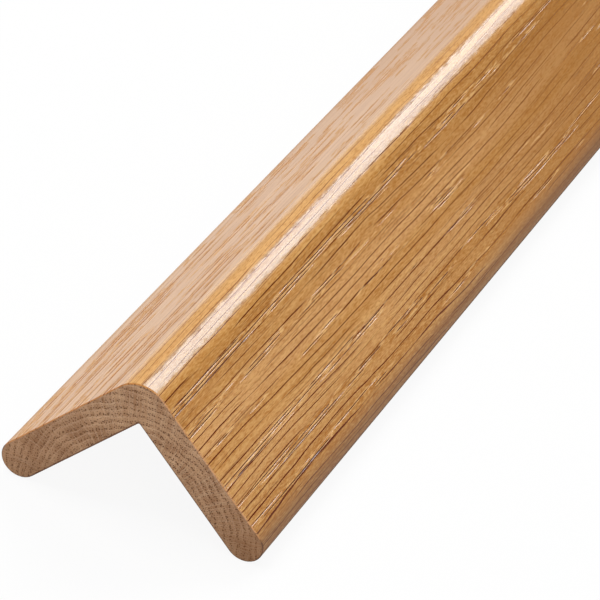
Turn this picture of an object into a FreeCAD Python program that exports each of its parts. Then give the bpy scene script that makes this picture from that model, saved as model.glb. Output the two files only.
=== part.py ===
import FreeCAD, Part
import os
from math import sqrt

# Corner guard moulding: one length of oak with an L section, two legs at a right angle,
# lying as a tent on its two rounded tips with the outer corner up.
# Y runs along the length, Z is up, and the floor is Z = 0 with the origin under the middle.

leg_width = 41.275      # outside width of each leg, from the sharp outer corner to its tip
leg_thickness = 7.94    # thickness of both legs
corner_radius = 6.35    # rounding of the outer corner, the edge that takes the knocks
root_radius = 0.4       # small rounding in the inner corner, which sits on the wall's corner
stock_length = 1219.2   # cut length of the stock

# Each leg ends in a full round, so its radius follows the thickness.
tip_radius = leg_thickness / 2
slant = sqrt(0.5)       # both legs lean at 45 degrees: drop and reach along them

# Directions in the section: down the left leg, down the right leg, and along the length.
down_left = FreeCAD.Vector(-slant, 0, -slant)
down_right = FreeCAD.Vector(slant, 0, -slant)
along = FreeCAD.Vector(0, stock_length, 0)

# The sharp outer corner stands at the height that sets both tips on the floor.
sharp_corner = FreeCAD.Vector(0, -stock_length / 2, slant * leg_width + tip_radius)


def spot(on_left, on_right):
    # a point of the near end, measured from the sharp corner along the two legs
    return sharp_corner + down_left * on_left + down_right * on_right


def swap(point):
    # the same point on the other leg
    return (point[1], point[0])


def round_between(start, middle, end):
    return Part.Arc(spot(*start), spot(*middle), spot(*end)).toShape()


def straight(start, end):
    return Part.LineSegment(spot(*start), spot(*end)).toShape()


def section():
    # the right leg's points from the ridge to the root, and their mirror images on the left leg
    ridge_middle = corner_radius * (1 - slant)
    root_middle = leg_thickness + root_radius * (1 - slant)
    ridge_end = (0, corner_radius)
    tip_start = (0, leg_width - tip_radius)
    tip_middle = (tip_radius, leg_width)
    tip_end = (leg_thickness, leg_width - tip_radius)
    root_end = (leg_thickness, leg_thickness + root_radius)

    edges = [
        round_between(swap(ridge_end), (ridge_middle, ridge_middle), ridge_end),
        straight(ridge_end, tip_start),
        round_between(tip_start, tip_middle, tip_end),
        straight(tip_end, root_end),
        round_between(root_end, (root_middle, root_middle), swap(root_end)),
        straight(swap(root_end), swap(tip_end)),
        round_between(swap(tip_end), swap(tip_middle), swap(tip_start)),
        straight(swap(tip_start), swap(ridge_end)),
    ]
    return Part.Face(Part.Wire(edges))


corner_guard = section().extrude(along)

os.makedirs("parts", exist_ok=True)
corner_guard.exportStep("parts/corner_guard.step")

box = corner_guard.BoundBox
print("corner_guard valid:", corner_guard.isValid(), "solids:", len(corner_guard.Solids))
print("volume mm3: %.1f" % corner_guard.Volume)
print("box mm: %.3f x %.3f x %.3f" % (box.XLength, box.YLength, box.ZLength))
print("lowest mm: %.4f" % box.ZMin)
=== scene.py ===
import math

import bmesh
import bpy
from mathutils import Matrix, Vector, noise


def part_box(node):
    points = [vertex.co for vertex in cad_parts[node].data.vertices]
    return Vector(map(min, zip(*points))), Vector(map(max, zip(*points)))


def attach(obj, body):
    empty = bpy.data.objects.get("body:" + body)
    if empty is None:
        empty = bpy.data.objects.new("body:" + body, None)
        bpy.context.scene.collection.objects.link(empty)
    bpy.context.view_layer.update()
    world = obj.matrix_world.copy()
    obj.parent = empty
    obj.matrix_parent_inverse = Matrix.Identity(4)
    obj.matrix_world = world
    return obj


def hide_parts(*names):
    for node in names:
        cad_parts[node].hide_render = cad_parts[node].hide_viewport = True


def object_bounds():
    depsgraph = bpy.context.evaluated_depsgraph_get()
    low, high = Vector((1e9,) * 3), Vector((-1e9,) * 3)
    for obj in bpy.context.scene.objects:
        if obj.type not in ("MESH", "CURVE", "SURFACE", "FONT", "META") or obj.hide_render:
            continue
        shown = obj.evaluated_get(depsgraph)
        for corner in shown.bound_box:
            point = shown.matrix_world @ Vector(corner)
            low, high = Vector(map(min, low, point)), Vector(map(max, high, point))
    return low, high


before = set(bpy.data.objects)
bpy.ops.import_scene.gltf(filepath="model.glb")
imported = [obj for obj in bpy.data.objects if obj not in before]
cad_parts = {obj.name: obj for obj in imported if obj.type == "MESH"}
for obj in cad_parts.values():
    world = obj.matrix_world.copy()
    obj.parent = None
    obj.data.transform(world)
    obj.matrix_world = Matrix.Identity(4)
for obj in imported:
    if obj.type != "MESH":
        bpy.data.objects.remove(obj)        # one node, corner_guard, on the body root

cadBox = [list(corner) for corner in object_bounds()]
print("frame loaded:", sorted(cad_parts))


# small helpers for shader nodes

def feed(tree, socket, value):
    if isinstance(value, bpy.types.NodeSocket):
        tree.links.new(value, socket)
    else:
        socket.default_value = value


def calc(tree, operation, *values):
    made = tree.nodes.new("ShaderNodeMath")
    made.operation = operation
    for socket, value in zip(made.inputs, values):
        feed(tree, socket, value)
    return made.outputs[0]


def vectorCalc(tree, operation, first, second):
    made = tree.nodes.new("ShaderNodeVectorMath")
    made.operation = operation
    feed(tree, made.inputs[0], first)
    feed(tree, made.inputs["Scale"] if operation == "SCALE" else made.inputs[1], second)
    return made.outputs[0]


def split(tree, vector):
    made = tree.nodes.new("ShaderNodeSeparateXYZ")
    feed(tree, made.inputs[0], vector)
    return made.outputs


def flatPoint(tree, first, second):
    made = tree.nodes.new("ShaderNodeCombineXYZ")
    feed(tree, made.inputs[0], first)
    feed(tree, made.inputs[1], second)
    return made.outputs[0]


def awayFrom(tree, value, middle):
    return calc(tree, "ABSOLUTE", calc(tree, "SUBTRACT", value, middle))


def fade(tree, value, start, end, fromValue=0.0, toValue=1.0):
    made = tree.nodes.new("ShaderNodeMapRange")    # smooth step from start to end
    made.interpolation_type = "SMOOTHSTEP"
    for socket, setting in zip(made.inputs, (value, start, end, fromValue, toValue)):
        feed(tree, socket, setting)
    return made.outputs[0]


def tint(tree, share, first, second):
    made = tree.nodes.new("ShaderNodeMix")
    made.data_type = "RGBA"
    feed(tree, made.inputs[0], share)
    feed(tree, made.inputs[6], first)
    feed(tree, made.inputs[7], second)
    return made.outputs[2]


def noiseOn(tree, vector, detail, roughness=0.5):
    made = tree.nodes.new("ShaderNodeTexNoise")
    feed(tree, made.inputs["Vector"], vector)
    made.inputs["Scale"].default_value = 1.0
    made.inputs["Detail"].default_value = detail
    made.inputs["Roughness"].default_value = roughness
    return made.outputs


def cellsOn(tree, vector, dimensions, uneven):
    made = tree.nodes.new("ShaderNodeTexVoronoi")
    made.voronoi_dimensions = dimensions
    feed(tree, made.inputs["Vector"], vector)
    made.inputs["Scale"].default_value = 1.0
    made.inputs["Randomness"].default_value = uneven
    return made.outputs


def colour(red, green, blue):
    # screen colour, 0 to 255, as the linear value that a shader takes
    shares = [level / 255 for level in (red, green, blue)]
    return tuple(x / 12.92 if x < 0.04045 else ((x + 0.055) / 1.055) ** 2.4 for x in shares) + (1.0,)


# the oak itself: growth rings about the pith, grain lines and pores, in millimetres

oak = {
    "pithX": 1.5, "pithZ": 0.7,                # pith, near the floor between the two tips
    # one year's ring: how wide, how uneven, and where in the year its pores and its pale line lie
    "ringWidth": 1.35, "ringUneven": 1.3,
    "earlyRise": (0.0, 0.08), "earlyFall": (0.62, 0.3),
    "ringRise": (0.74, 0.88), "ringFall": (1.0, 0.92), "ringThere": (0.4, 0.62),
    # fine strokes: the least half width and depth of tone, and what chance adds
    "lineGap": 0.42, "lineLength": 60.0, "lineEdge": (1.0, 0.55),
    "lineWide": (0.221, 0.17), "lineDark": (0.6, 0.4),
    # long dark rows: their gap and width, and one leg's width to count them on
    "rowGap": 1.9, "rowSpread": 22.9, "rowWide": 0.07, "rowEdge": 0.026, "rowThere": (0.33, 0.52),
    "rowWander": 1.5, "rowWaver": 1.05,
    "boldLength": 520.0, "boldFrom": -580.0, "faint": 0.62,     # stretches of bold lines and of faint ones
    "dotGap": 0.54, "dotRadius": 0.075, "earlyDotRadius": 0.17, "dotUneven": 0.8, "dotCore": 0.5,
    "rayGap": 0.42, "rayLength": 7.0, "rayThere": (0.42, 0.66),
    "swayReach": 2.5, "waverReach": 1.0,       # the slow drift of the grain along the stock, and a quick one
    "fibreSlope": 0.04, "gritSlope": 0.28, "gritFrom": (-7.0, -4.0),
    "noise": {
        # noise drawn out along the stock: steps across per millimetre, length, detail and roughness
        "sway": (0.05, 110.0, 2.5, 0.5),
        "waver": (0.3, 24.0, 2.5, 0.5),
        "uneven": (0.22, 250.0, 1.0, 0.5),
        "ringThere": (0.16, 60.0, 2.0, 0.5),
        "rowWander": (0.04, 220.0, 1.0, 0.5),
        "rowWaver": (0.2, 150.0, 1.0, 0.5),
        "rowThere": (0.7, 32.0, 1.0, 0.5),
        "fibre": (1.4, 26.0, 3.0, 0.6),
        "grit": (2.2, 3.2, 1.0, 0.5),
        "fleck": (5.0, 1.4, 1.0, 0.5),
        "streak": (0.85, 120.0, 2.0, 0.5),
        "tone": (0.22, 300.0, 2.0, 0.5),
    },
}


def makeOakGrain():
    tree = bpy.data.node_groups.new("oakGrain", "ShaderNodeTree")
    tree.interface.new_socket("Place", in_out="INPUT", socket_type="NodeSocketVector")
    for name in ("Early", "Ring", "Radius", "Line", "Row", "Dot", "Ray", "Fibre", "Grit", "Fleck",
                 "Bold", "Streak", "Tone"):
        tree.interface.new_socket(name, in_out="OUTPUT", socket_type="NodeSocketFloat")
    tree.interface.new_socket("Normal", in_out="OUTPUT", socket_type="NodeSocketVector")
    inside = tree.nodes.new("NodeGroupInput")
    outside = tree.nodes.new("NodeGroupOutput")
    place = vectorCalc(tree, "SCALE", inside.outputs["Place"], 1000.0)     # metres to millimetres
    pith = (oak["pithX"], 0.0, oak["pithZ"])

    def along(vector, name):
        across, length, detail, roughness = oak["noise"][name]
        stretched = vectorCalc(tree, "MULTIPLY", vector, (across, 1.0 / length, across))
        return noiseOn(tree, stretched, detail, roughness)

    def sideways(made, reach):
        # a noise's colour as a shift across the stock
        shift = vectorCalc(tree, "SUBTRACT", made["Color"], (0.5, 0.5, 0.5))
        return vectorCalc(tree, "MULTIPLY", shift, (reach, 0.0, reach))

    grain = vectorCalc(tree, "ADD", place, sideways(along(place, "sway"), oak["swayReach"]))
    vessels = vectorCalc(tree, "ADD", grain, sideways(along(place, "waver"), oak["waverReach"]))

    # rings: distance from the pith, with an uneven year now and then
    fromPith = split(tree, vectorCalc(tree, "SUBTRACT", grain, pith))
    radius = calc(tree, "SQRT", calc(tree, "ADD", calc(tree, "MULTIPLY", fromPith["X"], fromPith["X"]),
                                     calc(tree, "MULTIPLY", fromPith["Z"], fromPith["Z"])))
    year = calc(tree, "MULTIPLY_ADD", along(place, "uneven")[0], oak["ringUneven"],
                calc(tree, "DIVIDE", radius, oak["ringWidth"]))
    share = calc(tree, "FRACT", year)
    early = calc(tree, "MULTIPLY", fade(tree, share, *oak["earlyRise"]), fade(tree, share, *oak["earlyFall"]))
    ring = calc(tree, "MULTIPLY", fade(tree, share, *oak["ringRise"]), fade(tree, share, *oak["ringFall"]))
    ring = calc(tree, "MULTIPLY", ring, fade(tree, along(grain, "ringThere")[0], *oak["ringThere"]))

    # fine strokes along the grain, each a tapered run of its own
    stretched = vectorCalc(tree, "MULTIPLY", vessels,
                           (1.0 / oak["lineGap"], 1.0 / oak["lineLength"], 1.0 / oak["lineGap"]))
    cells = cellsOn(tree, stretched, "3D", 1.0)
    chance = tree.nodes.new("ShaderNodeSeparateColor")
    feed(tree, chance.inputs[0], cells["Color"])
    leastWide, moreWide = oak["lineWide"]
    leastDark, moreDark = oak["lineDark"]
    wide = calc(tree, "MULTIPLY_ADD", chance.outputs[0], moreWide, leastWide)
    line = calc(tree, "MULTIPLY", fade(tree, calc(tree, "DIVIDE", cells["Distance"], wide), *oak["lineEdge"]),
                calc(tree, "MULTIPLY_ADD", chance.outputs[1], moreDark, leastDark))

    # long dark rows, counted up the left leg, over the ridge and down the right leg, as seen from the pith
    waved = split(tree, vectorCalc(tree, "SUBTRACT", vessels, pith))
    wideX, tallZ = calc(tree, "ABSOLUTE", waved["X"]), waved["Z"]
    leg = calc(tree, "SIGN", waved["X"])
    down = calc(tree, "DIVIDE", calc(tree, "SUBTRACT", wideX, tallZ), calc(tree, "ADD", wideX, tallZ))
    around = calc(tree, "MULTIPLY_ADD", down, leg, calc(tree, "SUBTRACT", leg, 1.0))
    wander = calc(tree, "MULTIPLY", along(grain, "rowWander")[0], oak["rowWander"])
    wander = calc(tree, "MULTIPLY_ADD", along(grain, "rowWaver")[0], oak["rowWaver"], wander)
    rows = calc(tree, "MULTIPLY_ADD", around, oak["rowSpread"] / oak["rowGap"], wander)
    there = fade(tree, along(grain, "rowThere")[0], *oak["rowThere"], 0.0, oak["rowWide"])
    fromMiddle = awayFrom(tree, calc(tree, "FRACT", rows), 0.5)
    row = fade(tree, calc(tree, "SUBTRACT", there, fromMiddle), 0.0, oak["rowEdge"])
    turn = calc(tree, "MULTIPLY_ADD", waved["Y"], math.tau / oak["boldLength"],
                -math.tau * oak["boldFrom"] / oak["boldLength"])
    bold = calc(tree, "MULTIPLY_ADD", calc(tree, "COSINE", turn),
                (1.0 - oak["faint"]) / 2, (1.0 + oak["faint"]) / 2)
    row = calc(tree, "MULTIPLY", row, bold)

    # dots: the same vessels where the saw cut across them
    cut = split(tree, vessels)
    flat = flatPoint(tree, calc(tree, "DIVIDE", cut["X"], oak["dotGap"]),
                     calc(tree, "DIVIDE", cut["Z"], oak["dotGap"]))
    cells = cellsOn(tree, flat, "2D", oak["dotUneven"])
    wide = calc(tree, "MULTIPLY_ADD", early, (oak["earlyDotRadius"] - oak["dotRadius"]) / oak["dotGap"],
                oak["dotRadius"] / oak["dotGap"])
    dot = fade(tree, cells["Distance"], wide, calc(tree, "MULTIPLY", wide, oak["dotCore"]))

    # rays: pale threads that run out from the pith
    threads = flatPoint(tree, calc(tree, "MULTIPLY", around, oak["rowSpread"] / oak["rayGap"]),
                        calc(tree, "DIVIDE", radius, oak["rayLength"]))
    ray = fade(tree, noiseOn(tree, threads, 1.0)[0], *oak["rayThere"])

    # the surface leans with the fibres, and more with the grit on the right leg
    fibre = along(vessels, "fibre")
    grit = along(vessels, "grit")
    rugged = vectorCalc(tree, "SCALE", sideways(grit, oak["gritSlope"]),
                        fade(tree, fromPith["X"], *oak["gritFrom"]))
    lean = tree.nodes.new("ShaderNodeVectorTransform")
    lean.vector_type = "VECTOR"
    lean.convert_from, lean.convert_to = "OBJECT", "WORLD"
    feed(tree, lean.inputs[0], vectorCalc(tree, "ADD", sideways(fibre, oak["fibreSlope"]), rugged))
    surface = tree.nodes.new("ShaderNodeNewGeometry").outputs["Normal"]
    normal = tree.nodes.new("ShaderNodeVectorMath")
    normal.operation = "NORMALIZE"
    feed(tree, normal.inputs[0], vectorCalc(tree, "ADD", surface, lean.outputs[0]))

    made = {
        "Early": early, "Ring": ring, "Radius": radius, "Line": line, "Row": row, "Dot": dot, "Ray": ray,
        "Fibre": fibre[0], "Grit": grit[0], "Fleck": along(vessels, "fleck")[0], "Bold": bold,
        "Streak": along(grain, "streak")[0], "Tone": along(grain, "tone")[0], "Normal": normal.outputs[0],
    }
    for name, value in made.items():
        feed(tree, outside.inputs[name], value)
    return tree


# helpers for the three finishes

def attribute(tree, name):
    made = tree.nodes.new("ShaderNodeAttribute")     # kept on the moulding's own mesh
    made.attribute_name = name
    return made.outputs


def startMaterial(name, swayed=False):
    made = bpy.data.materials.new(name)
    made.use_nodes = True
    tree = made.node_tree
    shader = tree.nodes["Principled BSDF"]
    grain = tree.nodes.new("ShaderNodeGroup")
    grain.node_tree = oakGrain
    spot = tree.nodes.new("ShaderNodeTexCoord").outputs
    place = spot["Object"]
    if swayed:      # the grain follows the sway of the pores
        place = vectorCalc(tree, "SUBTRACT", place, attribute(tree, "sway")["Vector"])
    feed(tree, grain.inputs["Place"], place)
    parts = split(tree, spot["Object"])
    masks = {socket.name: socket for socket in grain.outputs}
    masks.update({"side": parts["X"], "along": parts["Y"], "height": parts["Z"], "outward": spot["Normal"]})
    return made, tree, shader, masks


def atEnd(tree, along):
    # the narrow sanded edge round each cut end
    start = cadBox[1][1] - guard["arris"]
    return fade(tree, calc(tree, "ABSOLUTE", along), start - guard["arris"] / 4, start)


def addMasks(tree, masks, recipes):
    # each new mask is one fade, or several multiplied
    for name, steps in recipes.items():
        made = 1.0
        for source, *limits in steps:
            made = calc(tree, "MULTIPLY", fade(tree, masks[source], *limits), made)
        masks[name] = made


def amount(tree, mask, limits, share):
    # a mask faded in between its limits, or taken as it is, up to its share
    if limits:
        return fade(tree, mask, *limits, 0.0, share)
    return calc(tree, "MULTIPLY", mask, share)


def layered(tree, body, layers, masks, paints):
    # colours laid over one another, a share by number or by the name of a mask
    for mask, limits, share, paint in layers:
        part = amount(tree, masks[mask], limits, masks.get(share, share))
        body = tint(tree, part, body, paints[paint])
    return body


varnish = {
    "tan": colour(227, 174, 116), "amber": colour(200, 141, 68), "brown": colour(165, 98, 28),
    "pale": colour(228, 178, 112), "deep": colour(166, 108, 43),
    "paintedRidgeLight": colour(235, 187, 128), "paintedHighlightBand": colour(178, 152, 127), "leftSheen": colour(208, 162, 119),
    "line": colour(98, 32, 0), "faintLine": colour(134, 76, 28),
    "leftLine": colour(168, 112, 70), "leftFaint": colour(196, 144, 100),
    "pore": colour(84, 36, 2), "paintedGlintColour": colour(255, 206, 132),
    "edge": colour(218, 153, 88), "leftEdge": colour(206, 138, 78), "darkEdge": colour(112, 72, 42),
    "shadedTip": colour(118, 84, 64), "footShadow": colour(80, 48, 28),
    "gloss": 0.2, "ior": 1.5,
    "rimDots": 0.45, "rimRows": 0.6,           # how strongly the grain shows on the sanded edge
    "middles": {"fromRidge": -0.001, "fromTop": 0.001, "fromCrest": 0.0015},     # lines along the ridge
    # masks: what each follows, where it begins and is full, and its least and most where not 0 and 1
    "masks": {
        "shoulder": (("side", 0.0035, 0.0055), ("side", 0.0145, 0.0075, 0.0, 0.3)),
        "flecked": (("side", -0.006, -0.003, 0.2, 0.5),),
        "deepened": (("fromTop", 0.003, 0.007, 0.1, 0.56),),
        "faint": (("Bold", 0.95, 0.76),),
        "leftFaint": (("Bold", 0.97, 0.8),),
        "leftLines": (("side", 0.001, -0.003),),
        "leftPores": (("side", -0.003, -0.006),),
        "sunk": (("pore", 0.76, 0.95),),
        "poreStainAndShade": (("pore", 0.76, 0.95), ("Grit", 0.3, 0.5, 0.4, 0.9)),
        "paintedGlintWall": (("pore", 0.06, 0.3), ("pore", 0.8, 0.66), ("Grit", 0.42, 0.6, 0.0, 0.42),
                    ("side", -0.004, 0.004)),
        "filled": (("pore", 0.02, 0.3), ("Grit", 0.42, 0.56)),
        "leftRim": (("side", 0.0, -0.004),),
        "outerRim": (("facing", 0.28, 0.46),),
        "shadedTip": (("height", 0.0085, 0.0052), ("side", -0.01, 0.01, 0.5, 1.0)),
        "footShadow": (("height", 0.0038, 0.0026),),
    },
    # colours laid over the tan: what each follows, its limits, its share and its paint
    "layers": (
        ("Radius", (22.3, 27.5), 0.7, "amber"),
        ("Tone", (0.42, 0.68), 0.6, "amber"),
        ("side", (0.009, 0.027), 0.5, "deep"),            # heartwood side of the board
        # painted light: a paler golden band along the ridge, where the key lamp falls
        ("fromRidge", (0.0058, 0.003), 0.55, "paintedRidgeLight"),
        ("shoulder", None, 1.0, "deep"),
        ("fromCrest", (0.0021, 0.0012), 0.8, "paintedHighlightBand"),    # painted highlight: a paler, greyer band under the ridge's highlight, to whiten it
        ("Streak", (0.46, 0.28), 0.6, "pale"),
        ("Streak", (0.52, 0.72), 0.4, "brown"),
        ("track", None, 0.35, "brown"),
        ("Fibre", (0.45, 0.8), 0.32, "brown"),
        ("Grit", (0.5, 0.8), 0.3, "pale"),
        ("Grit", (0.48, 0.2), 0.3, "brown"),
        ("Fleck", (0.5, 0.72), "flecked", "pale"),
        ("Fleck", (0.5, 0.28), "flecked", "brown"),
        ("Bold", (0.98, 0.75), "deepened", "deep"),
        # painted sheen: the left face, seen at a grazing angle, is made paler and greyer
        ("side", (-0.003, -0.006), 0.42, "leftSheen"),
        ("Line", None, 0.5, "drawnLine"),
        ("Row", None, 1.0, "drawnLine"),
        ("paintedGlintWall", None, 1.0, "paintedGlintColour"),                    # painted glint: a warm pale colour on the wall of a pore that faces the ridge and the lamps
        ("poreStainAndShade", None, 1.0, "drawnPore"),
        ("end", None, 1.0, "rim"),
        ("shadedTip", None, 0.45, "shadedTip"),                       # painted shade: the rounded tips, which face down and away from the lamps, are darker
        ("footShadow", None, 0.85, "footShadow"),                     # painted contact shadow, where the tips face the floor
    ),
    # what dulls the gloss: what it follows, its limits and how much it adds
    "dulls": (
        ("drawn", None, 0.04),                            # the varnish sinks into the grain
        ("Streak", (0.52, 0.72), 0.03),
        ("Bold", (0.95, 0.7), 0.045),
        ("side", (-0.003, -0.005), 0.1),
        ("sunk", None, 0.35),
        ("filled", None, 0.4),
        ("shadedTip", None, 0.5),
        ("footShadow", None, 0.25),
    ),
}


def makeVarnishedOak():
    made, tree, shader, masks = startMaterial("varnishedOak", True)
    for name in ("pore", "track"):
        masks[name] = attribute(tree, name)["Fac"]
    for name, middle in varnish["middles"].items():
        masks[name] = awayFrom(tree, masks["side"], middle)
    masks["facing"] = split(tree, masks["outward"])["Z"]
    masks["drawn"] = calc(tree, "MAXIMUM", masks["Line"], masks["Row"])
    masks["end"] = atEnd(tree, masks["along"])
    addMasks(tree, masks, varnish["masks"])

    paints = dict(varnish)
    # painted sheen: on the left face the lines and pores take paler colours
    left = tint(tree, masks["leftFaint"], varnish["leftLine"], varnish["leftFaint"])
    right = tint(tree, masks["faint"], varnish["line"], varnish["faintLine"])
    paints["drawnLine"] = tint(tree, masks["leftLines"], right, left)
    right = tint(tree, masks["faint"], varnish["pore"], varnish["faintLine"])
    paints["drawnPore"] = tint(tree, masks["leftPores"], right, left)
    rim = tint(tree, masks["leftRim"], varnish["edge"], varnish["leftEdge"])
    # painted shade: the sanded edge is darker where it faces down
    rim = tint(tree, masks["outerRim"], varnish["darkEdge"], rim)
    rim = tint(tree, calc(tree, "MULTIPLY", masks["Dot"], varnish["rimDots"]), rim, varnish["brown"])
    paints["rim"] = tint(tree, calc(tree, "MULTIPLY", masks["Row"], varnish["rimRows"]), rim, varnish["line"])
    feed(tree, shader.inputs["Base Color"], layered(tree, varnish["tan"], varnish["layers"], masks, paints))

    rough = varnish["gloss"]
    for mask, limits, dull in varnish["dulls"]:
        rough = calc(tree, "ADD", amount(tree, masks[mask], limits, dull), rough)
    feed(tree, shader.inputs["Roughness"], rough)
    shader.inputs["IOR"].default_value = varnish["ior"]
    feed(tree, shader.inputs["Normal"], masks["Normal"])
    return made


sawn = {
    "face": colour(206, 162, 124), "dark": colour(152, 106, 72), "pale": colour(222, 186, 152),
    "pore": colour(80, 38, 10), "heart": colour(140, 90, 50), "innerEdgeLine": colour(84, 52, 30),
    "rough": 0.85, "specular": 0.25, "depth": 0.00008,
    "layers": (
        ("Tone", (0.3, 0.7), 0.7, "dark"),
        ("Early", None, 0.3, "dark"),
        ("Ring", None, 0.45, "pale"),
        ("Ray", None, 0.36, "pale"),
        ("Dot", None, 0.82, "pore"),
        ("side", (0.014, 0.027), 0.5, "heart"),
        ("side", (-0.006, -0.014), 0.3, "dark"),
        ("toInner", (0.0005, 0.00015), 0.75, "innerEdgeLine"),    # a dark line along the inner edges of the cut end
    ),
}


def makeSawnEnd():
    made, tree, shader, masks = startMaterial("sawnEnd")
    slant = math.sqrt(0.5)
    peak = cadBox[1][2] + guard["cornerRadius"] * (math.sqrt(2.0) - 1.0)     # the sharp outer corner
    reach = calc(tree, "ADD", calc(tree, "ABSOLUTE", masks["side"]), masks["height"])
    masks["toInner"] = calc(tree, "MULTIPLY_ADD", reach, slant, guard["thickness"] - slant * peak)
    feed(tree, shader.inputs["Base Color"], layered(tree, sawn["face"], sawn["layers"], masks, sawn))
    shader.inputs["Roughness"].default_value = sawn["rough"]
    shader.inputs["Specular IOR Level"].default_value = sawn["specular"]
    pits = tree.nodes.new("ShaderNodeBump")
    pits.inputs["Strength"].default_value = 1.0
    pits.inputs["Distance"].default_value = sawn["depth"]
    feed(tree, pits.inputs["Height"], calc(tree, "MULTIPLY", masks["Dot"], -1.0))
    feed(tree, shader.inputs["Normal"], pits.outputs[0])
    return made


planed = {
    "face": colour(204, 164, 120), "dark": colour(178, 136, 94), "line": colour(128, 88, 54),
    "darkEdge": colour(104, 66, 40), "rough": 0.7, "specular": 0.3,
    "layers": (
        ("Tone", (0.35, 0.65), 1.0, "dark"),
        ("Streak", (0.45, 0.75), 0.7, "dark"),
        ("Line", None, 0.8, "line"),
        ("Row", None, 0.6, "line"),
        ("end", None, 1.0, "darkEdge"),
    ),
}


def makePlanedBack():
    made, tree, shader, masks = startMaterial("planedBack")
    masks["end"] = atEnd(tree, masks["along"])
    feed(tree, shader.inputs["Base Color"], layered(tree, planed["face"], planed["layers"], masks, planed))
    shader.inputs["Roughness"].default_value = planed["rough"]
    shader.inputs["Specular IOR Level"].default_value = planed["specular"]
    feed(tree, shader.inputs["Normal"], masks["Normal"])
    return made


# the moulding: an L outline with rounded corner and tips, drawn out along Y

guard = {
    "thickness": 0.00794, "cornerRadius": 0.00635, "rootRadius": 0.0004,
    "cornerSteps": 22, "tipSteps": 10, "rootSteps": 4,
    "lengthStep": 0.003,                       # how far apart the mesh's lines lie along the stock
    "arris": 0.0002,                           # the sanded edge of the two cut ends
    "samePoint": 0.00001,                      # points this close are one
    "sharpAngle": 20.0,
    "innerDepth": 0.97, "bendDepth": 0.9,      # shares of the thickness past which a face is an inner one
    "endFacing": 0.9, "sideFacing": 0.1,       # how far a face looks along the stock: cut ends, long sides
    "rimDepth": 1.2,                           # in sanded edges: deeper points aren't on the outside
}
pores = {
    # open pores in the outer faces: on the right leg in tracks, each with its place on the leg and how many
    "tracks": ((0.0092, 3), (0.0144, 3), (0.0203, 4), (0.0264, 3), (0.0316, 3), (0.0355, 2)),
    "gap": 0.00056, "margin": 0.4,             # margin: room at a track's sides, in gaps
    # on the left leg one by one
    "leftFirst": 0.0079, "leftGap": 0.0014, "leftCount": 20, "leftUneven": 0.3, "leftTrackStep": 0.37,
    "halfWidths": (0.00016, 0.0002), "depths": (0.0001, 0.0001),     # right leg, left leg
    "closedWidth": 0.3,                        # what is left of the width where a pore closes
    # how far a pore opens: the pull of its track and of the bold stretches, and how soon it is full
    "trackPull": 0.6, "boldPull": 0.13, "openRise": 3.5,
    "deepRise": 2.5, "deepMean": 0.6, "deepLeast": 0.2,
    # wallShade: painted shade, how much darker a pore's wall that faces away from the ridge is
    "wobble": 0.00012, "trackBase": 0.4, "wallShade": 0.45,
    "noise": {
        # length along the stock, about, then the noise's own place for each pore and for each leg
        "run": (0.014, 1.7, 0.3, 3.0, 0.4),
        "track": (0.09, 2.3, 0.4, 7.0, 0.6),
        "deep": (0.007, 2.1, 0.8, 4.0, 0.9),
        "wobble": (0.012, 1.3, 0.2, 6.0, 0.3),
    },
    "swayReach": 0.0014, "swayFree": 0.004,    # none where the rounded parts begin, all of it this far in
    "sways": ((1.0, 0.03, 0.16, 5.0, 0.7), (0.25, 0.01, 0.048, 9.0, 0.2)),     # share, width, length, place
}


def poreLines(leftLeg):
    # the mesh's lines across one leg: place, then the pore's middle, part of it, its number and its track
    lines = []

    def addPore(middle, halfWidth, number, track):
        lines.extend((middle + part * halfWidth, middle, part, number, track) for part in (-1, 0, 1))

    if leftLeg:
        for k in range(pores["leftCount"]):
            shift = pores["leftUneven"] * noise.noise((k * 0.7, 0.5, 0.5))
            middle = pores["leftFirst"] + pores["leftGap"] * (k + shift)
            addPore(middle, pores["halfWidths"][1], k, k * pores["leftTrackStep"])
        return lines
    number = 0
    for track, (centre, count) in enumerate(pores["tracks"]):
        reach = pores["gap"] * (count + pores["margin"]) / 2
        lines.append((centre - reach, centre - reach, None, number, track))
        for k in range(count):
            addPore(centre + pores["gap"] * (k - (count - 1) / 2), pores["halfWidths"][0], number, track)
            number += 1
        lines.append((centre + reach, centre + reach, None, number, track))
    return lines


def poreNoise(kind, leg, number, y):
    run, step, start, legStep, legStart = pores["noise"][kind]
    return noise.noise((number * step + start, y / run, leg * legStep + legStart))


def openShare(leg, number, track, y):
    # how far a pore is open at a place along the stock, 0 to 1
    bold = math.cos((y * 1000 - oak["boldFrom"]) * math.tau / oak["boldLength"])
    pull = poreNoise("track", leg, track, y) * pores["trackPull"] + pores["boldPull"] * bold
    return min(max((poreNoise("run", leg, number, y) + pull) * pores["openRise"], 0.0), 1.0)


def deepShare(leg, number, y):
    # varnish fills most of a pore, and leaves it deep here and there
    deep = poreNoise("deep", leg, number, y) * pores["deepRise"] + pores["deepMean"]
    return min(max(deep, pores["deepLeast"]), 1.0)


def swayAt(leg, place, flat, y):
    # how far the grain drifts along the leg, with none where the rounded parts begin
    free = min(max(min(place - flat[0], flat[1] - place) / pores["swayFree"], 0.0), 1.0)
    drift = sum(share * noise.noise((place / width, y / length, leg * legStep + legStart))
                for share, width, length, legStep, legStart in pores["sways"])
    return pores["swayReach"] * free * drift


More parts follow.
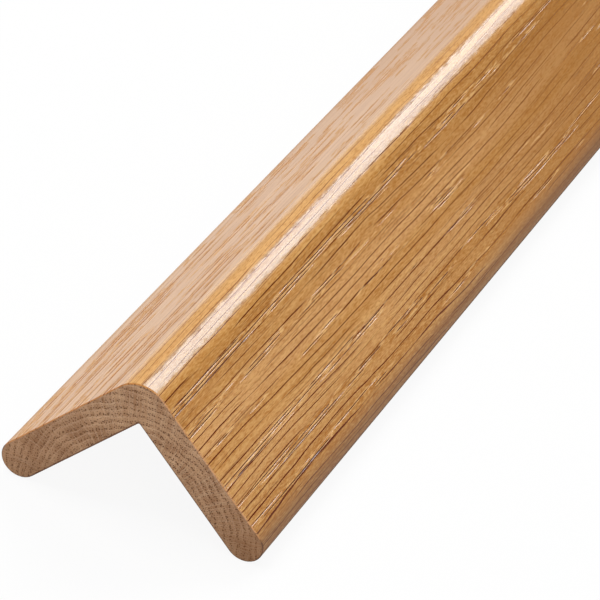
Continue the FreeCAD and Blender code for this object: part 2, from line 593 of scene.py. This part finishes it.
def sectionShape():
    low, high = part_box("corner_guard")
    slant = math.sqrt(0.5)
    thick = guard["thickness"]
    leg = ((high.x - low.x) - thick) * slant + thick
    downRight, downLeft = Vector((slant, 0, -slant)), Vector((-slant, 0, -slant))
    return {
        "leg": leg, "thick": thick, "length": high.y - low.y,
        "top": Vector((0, low.y, low.z + slant * leg + thick / 2)),     # the sharp outer corner
        # right leg, then left: the way down the leg, the way into the wood, and the lines across it
        "legs": ((downRight, downLeft, poreLines(False)), (downLeft, downRight, poreLines(True))),
    }


def cutEnds(bm):
    return [face for face in bm.faces if abs(face.normal.y) > guard["endFacing"]]


def drawOutline(bm, shape):
    leg, thick, top = shape["leg"], shape["thick"], shape["top"]
    downRight, downLeft = shape["legs"][0][:2]
    sharp = [(0, 0), (leg, 0), (leg, thick), (thick, thick), (thick, leg), (0, leg)]
    outline = [bm.verts.new(top + downLeft * a + downRight * b) for a, b in sharp]
    bm.faces.new(outline)

    def rounded(points, radius, steps):
        bmesh.ops.bevel(bm, geom=points, offset=radius, offset_type="OFFSET", segments=steps,
                        profile=0.5, affect="VERTICES", clamp_overlap=False, material=-1)

    paintedRidgeLight, root = outline[0], outline[3]
    tips = [outline[k] for k in (1, 2, 4, 5)]
    rounded([paintedRidgeLight], guard["cornerRadius"], guard["cornerSteps"])
    rounded([root], guard["rootRadius"], guard["rootSteps"])
    rounded(tips, thick / 2, guard["tipSteps"])
    bmesh.ops.remove_doubles(bm, verts=bm.verts[:], dist=guard["samePoint"])

    for down, inward, lines in shape["legs"]:
        flat = [edge for edge in bm.edges if edge.calc_length() > thick
                and max((vert.co - top).dot(inward) for vert in edge.verts) < thick / 2]
        halved = bmesh.ops.subdivide_edges(bm, edges=flat, cuts=len(lines))["geom_inner"]
        fresh = [item for item in halved if isinstance(item, bmesh.types.BMVert)]
        fresh.sort(key=lambda vert: (vert.co - top).dot(down))
        for vert, line in zip(fresh, lines):
            vert.co += down * (line[0] - (vert.co - top).dot(down))


def drawOut(bm, shape):
    length = shape["length"]
    drawn = bmesh.ops.extrude_face_region(bm, geom=bm.faces[:])["geom"]
    farPoints = [item for item in drawn if isinstance(item, bmesh.types.BMVert)]
    bmesh.ops.translate(bm, vec=(0, length, 0), verts=farPoints)
    bmesh.ops.recalc_face_normals(bm, faces=bm.faces[:])

    rims = [edge for face in cutEnds(bm) for edge in face.edges]
    bmesh.ops.bevel(bm, geom=rims, offset=guard["arris"], offset_type="OFFSET", segments=1,
                    profile=0.5, affect="EDGES", clamp_overlap=False, material=-1)
    long = [edge for edge in bm.edges if abs(edge.verts[0].co.y - edge.verts[1].co.y) > length / 2]
    bmesh.ops.subdivide_edges(bm, edges=long, cuts=round(length / guard["lengthStep"]), use_grid_fill=True)


def openPores(bm, shape):
    # the pores' lines drift with the grain, and the middle one sinks in
    poreLayer, trackLayer = bm.verts.layers.float.new("pore"), bm.verts.layers.float.new("track")
    swayLayer = bm.verts.layers.float_vector.new("sway")
    top = shape["top"]
    flat = guard["cornerRadius"], shape["leg"] - shape["thick"] / 2      # the flat of a leg, from and to
    deepest = guard["arris"] * guard["rimDepth"]
    ticks, slack = 1e7, 5                      # a point's line is found by its place, to half a micrometre
    grooved = set()
    for side, (down, inward, lines) in enumerate(shape["legs"]):
        known = {round(line[0] * ticks): line for line in lines}
        halfWidth, depth = pores["halfWidths"][side], pores["depths"][side]
        shade = pores["wallShade"] * (1 - 2 * side)
        for vert in bm.verts:
            place, under = (vert.co - top).dot(down), (vert.co - top).dot(inward)
            if under > deepest or not flat[0] < place < flat[1]:
                continue
            tick = round(place * ticks)
            near = [known[step] for step in range(tick - slack, tick + slack + 1) if step in known]
            if not near:
                continue
            middle, part, number, track = near[0][1:]
            y = vert.co.y
            sway = swayAt(side, middle, flat, y)
            vert[swayLayer] = down * sway
            vert.co += down * (sway + middle - place)
            if part is None:
                continue
            vert.co += down * (pores["wobble"] * poreNoise("wobble", side, number, y))
            share = openShare(side, number, track, y)
            width = pores["closedWidth"] + (1 - pores["closedWidth"]) * share
            vert.co += down * (part * halfWidth * width)
            vert[trackLayer] = min(1.0, share + pores["trackBase"]) * (1 - side)
            # a pore's mark: darkest at its bottom, with painted shade on the wall that faces away from the
            # ridge and the lamps
            vert[poreLayer] = share * (1.0 if part == 0 else 0.5 - part * shade)
            grooved.add(vert)
            if part == 0 and under < guard["samePoint"]:
                vert.co += inward * (depth * share * deepShare(side, number, y))
    return grooved


def fillEnds(bm):
    # the two flat ends as well-shaped triangles, set in the same order on each run
    bmesh.ops.triangulate(bm, faces=cutEnds(bm), quad_method="BEAUTY", ngon_method="BEAUTY")
    bm.verts.index_update()
    ends = cutEnds(bm)
    triangles = []
    for face in ends:
        numbers = [vert.index for vert in face.verts]
        first = numbers.index(min(numbers))
        triangles.append(numbers[first:] + numbers[:first])
    bmesh.ops.delete(bm, geom=ends, context="FACES_ONLY")
    points = list(bm.verts)
    for numbers in triangles:
        bm.faces.new([points[number] for number in numbers]).normal_update()

    def rank(face):
        low, middle, high = sorted(vert.index for vert in face.verts)[:3]
        return (low * len(points) + middle) * len(points) + high

    bm.faces.sort(key=rank)


def markFinishes(bm, shape, grooved):
    # varnish outside, sawn ends, plain wood on the side that meets the wall
    thick = shape["thick"]
    downRight, downLeft = shape["legs"][0][:2]
    for face in bm.faces:
        across = face.calc_center_median() - shape["top"]
        a, b = across.dot(downLeft), across.dot(downRight)
        face.smooth = abs(face.normal.y) < guard["sideFacing"]
        inner = min(a, b) > thick * guard["innerDepth"]
        bend = min(a, b) > thick * guard["bendDepth"] and max(a, b) < shape["leg"] - thick
        if inner or bend:
            face.material_index = 2
    for face in cutEnds(bm):
        face.material_index = 1
    for edge in bm.edges:
        run = abs(edge.verts[0].co.y - edge.verts[1].co.y)
        wall = grooved.issuperset(edge.verts) and run > guard["lengthStep"] / 3
        edge.smooth = edge.calc_face_angle(0.0) < math.radians(guard["sharpAngle"]) and not wall


def makeMoulding(finishes):
    shape = sectionShape()
    bm = bmesh.new()
    drawOutline(bm, shape)
    drawOut(bm, shape)
    grooved = openPores(bm, shape)
    fillEnds(bm)
    markFinishes(bm, shape, grooved)

    mesh = bpy.data.meshes.new("cornerGuard")
    bm.to_mesh(mesh)
    bm.free()
    piece = bpy.data.objects.new("cornerGuard", mesh)
    bpy.context.scene.collection.objects.link(piece)
    for finish in finishes:
        mesh.materials.append(finish)
    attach(piece, "root")
    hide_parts("corner_guard")
    triangles = len(mesh.loops) - 2 * len(mesh.polygons)
    print("moulding made: leg %.2f mm, %d triangles" % (shape["leg"] * 1000, triangles))


oakGrain = makeOakGrain()
finishes = [makeVarnishedOak(), makeSawnEnd(), makePlanedBack()]
print("materials made:", [finish.name for finish in finishes])
makeMoulding(finishes)


# floor, light and camera

studio = {
    "floorSize": 12.0, "floor": (0.8, 0.8, 0.8, 1.0), "floorShine": 0.92,
    "ambient": 0.1,
}
lamps = {
    # where each lamp stands seen from the moulding, how far off, its two sides and its radiance
    "softbox": (Vector((0.0, 0.742, 0.670)), 4.0, (2.15, 2.3), 6.9),
    "key": (Vector((-0.4, 0.0, 0.92)), 1.7, (1.0, 1.0), 6.1),
    "fill": (Vector((0.6, -0.6, 0.53)), 2.0, (1.5, 1.5), 1.87),
}
view = {
    "aim": Vector((0.0089, -0.55885, 0.02426)),   # on the right leg, in the middle of the picture
    "azimuth": 21.0, "elevation": 33.627, "roll": 7.45, "away": 0.73335,
    "lens": 227.54, "sensor": 36.0, "clipStart": 0.01,
}


def makeFloor():
    bm = bmesh.new()
    bmesh.ops.create_grid(bm, x_segments=1, y_segments=1, size=studio["floorSize"] / 2)
    mesh = bpy.data.meshes.new("floor")
    bm.to_mesh(mesh)
    bm.free()
    floor = bpy.data.objects.new("floor", mesh)
    bpy.context.scene.collection.objects.link(floor)
    paint = bpy.data.materials.new("paleFloor")
    paint.use_nodes = True
    tree = paint.node_tree
    shader = tree.nodes["Principled BSDF"]
    shader.inputs["Base Color"].default_value = studio["floor"]
    shader.inputs["Roughness"].default_value = 1.0
    shader.inputs["Specular IOR Level"].default_value = 0.0
    # seen by the camera or in a reflection, the floor is white with a light shadow
    rays = tree.nodes.new("ShaderNodeLightPath")
    seen = calc(tree, "MAXIMUM", rays.outputs["Is Camera Ray"],
                calc(tree, "MAXIMUM", rays.outputs["Is Glossy Ray"], rays.outputs["Is Transmission Ray"]))
    white = tree.nodes.new("ShaderNodeEmission")
    both = tree.nodes.new("ShaderNodeMixShader")
    feed(tree, both.inputs[0], calc(tree, "MULTIPLY", seen, studio["floorShine"]))
    feed(tree, both.inputs[1], shader.outputs[0])
    feed(tree, both.inputs[2], white.outputs[0])
    feed(tree, tree.nodes["Material Output"].inputs["Surface"], both.outputs[0])
    mesh.materials.append(paint)


def makeLight():
    scene = bpy.context.scene
    scene.world = bpy.data.worlds.new("studio")
    scene.world.use_nodes = True
    sky = scene.world.node_tree.nodes["Background"]
    sky.inputs["Color"].default_value = (1, 1, 1, 1)
    sky.inputs["Strength"].default_value = studio["ambient"]

    for name, (side, away, size, radiance) in lamps.items():
        lamp = bpy.data.lights.new(name, "AREA")
        lamp.shape = "RECTANGLE"
        lamp.size, lamp.size_y = size
        lamp.energy = radiance * math.pi * lamp.size * lamp.size_y
        stand = bpy.data.objects.new(name, lamp)
        stand.location = view["aim"] + side.normalized() * away
        stand.rotation_euler = side.to_track_quat("Z", "Y").to_euler()
        scene.collection.objects.link(stand)


def makeCamera():
    azimuth, elevation = math.radians(view["azimuth"]), math.radians(view["elevation"])
    back = Vector((math.sin(azimuth) * math.cos(elevation), -math.cos(azimuth) * math.cos(elevation),
                   math.sin(elevation)))
    lens = bpy.data.cameras.new("camera")
    lens.lens = view["lens"]
    lens.sensor_width = view["sensor"]
    lens.clip_start = view["clipStart"]
    camera = bpy.data.objects.new("camera", lens)
    turn = back.to_track_quat("Z", "Y").to_matrix() @ Matrix.Rotation(math.radians(view["roll"]), 3, "Z")
    camera.matrix_world = Matrix.LocRotScale(view["aim"] + back * view["away"], turn.to_quaternion(), None)
    bpy.context.scene.collection.objects.link(camera)
    bpy.context.scene.camera = camera


makeFloor()
makeLight()
makeCamera()
bpy.context.scene.view_settings.view_transform = "Standard"
print("studio made")
